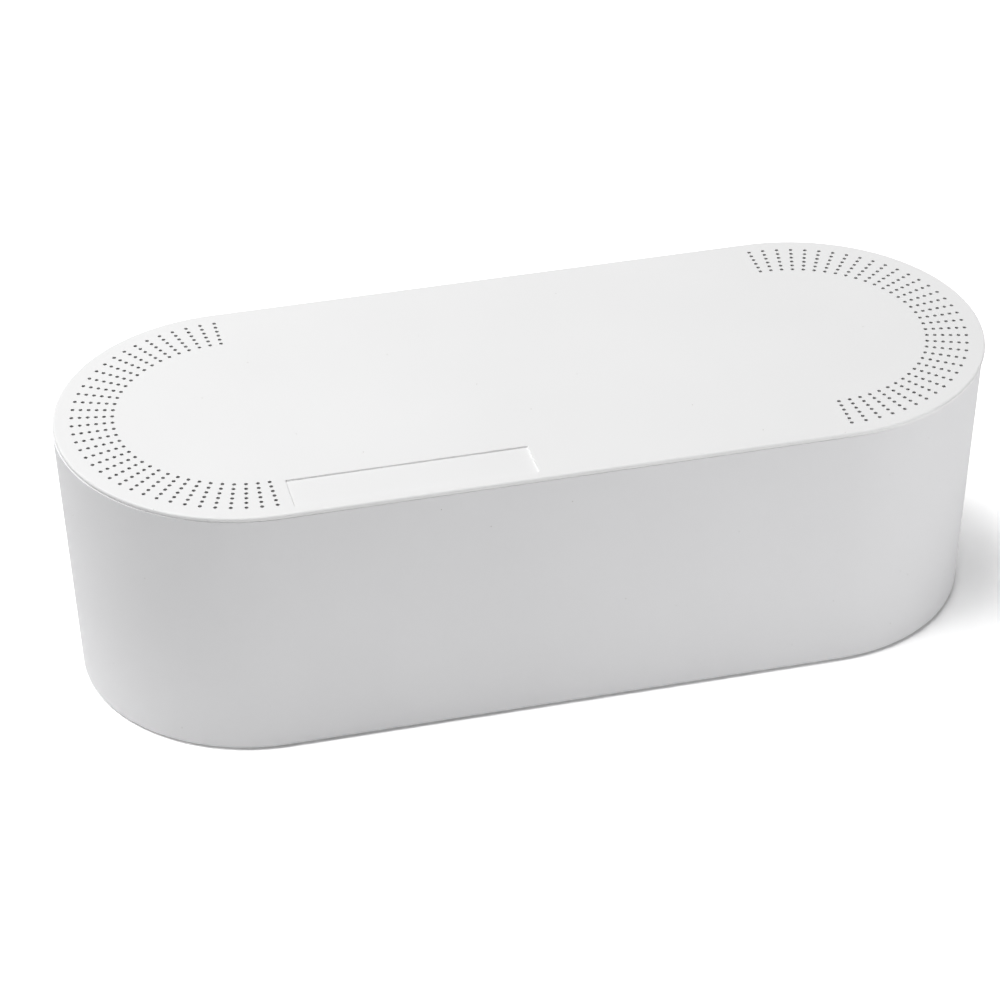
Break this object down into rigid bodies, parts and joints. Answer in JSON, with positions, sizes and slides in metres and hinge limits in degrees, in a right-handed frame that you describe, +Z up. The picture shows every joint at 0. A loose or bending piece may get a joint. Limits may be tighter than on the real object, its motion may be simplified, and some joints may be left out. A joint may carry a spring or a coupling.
{
  "type": "cable management box",
  "caption": "Long box with half-round ends that hides a power strip and its plugs, with a vented lift-off lid, cable outlets at the rear and rubber feet.",
  "frame": {"origin": "on the floor under the middle of the box", "axes": "+X along the length, -Y the front, +Z up"},
  "size_m": [0.4154, 0.165, 0.125],
  "materials": {
    "body_plastic": "fine matt moulded white",
    "lid_plastic": "fine matt moulded white",
    "foot_rubber": "matt black rubber"
  },
  "bodies": {
    "box": {"tub": "body_plastic", "foot_front_left": "foot_rubber", "foot_front_right": "foot_rubber", "foot_rear_left": "foot_rubber", "foot_rear_right": "foot_rubber"},
    "lid": {"lid": "lid_plastic"}
  },
  "joints": [
    {"name": "lid_lift", "type": "slide", "parent": "box", "child": "lid", "axis": [0, 0, 1], "range_m": [0, 0.12]}
  ]
}
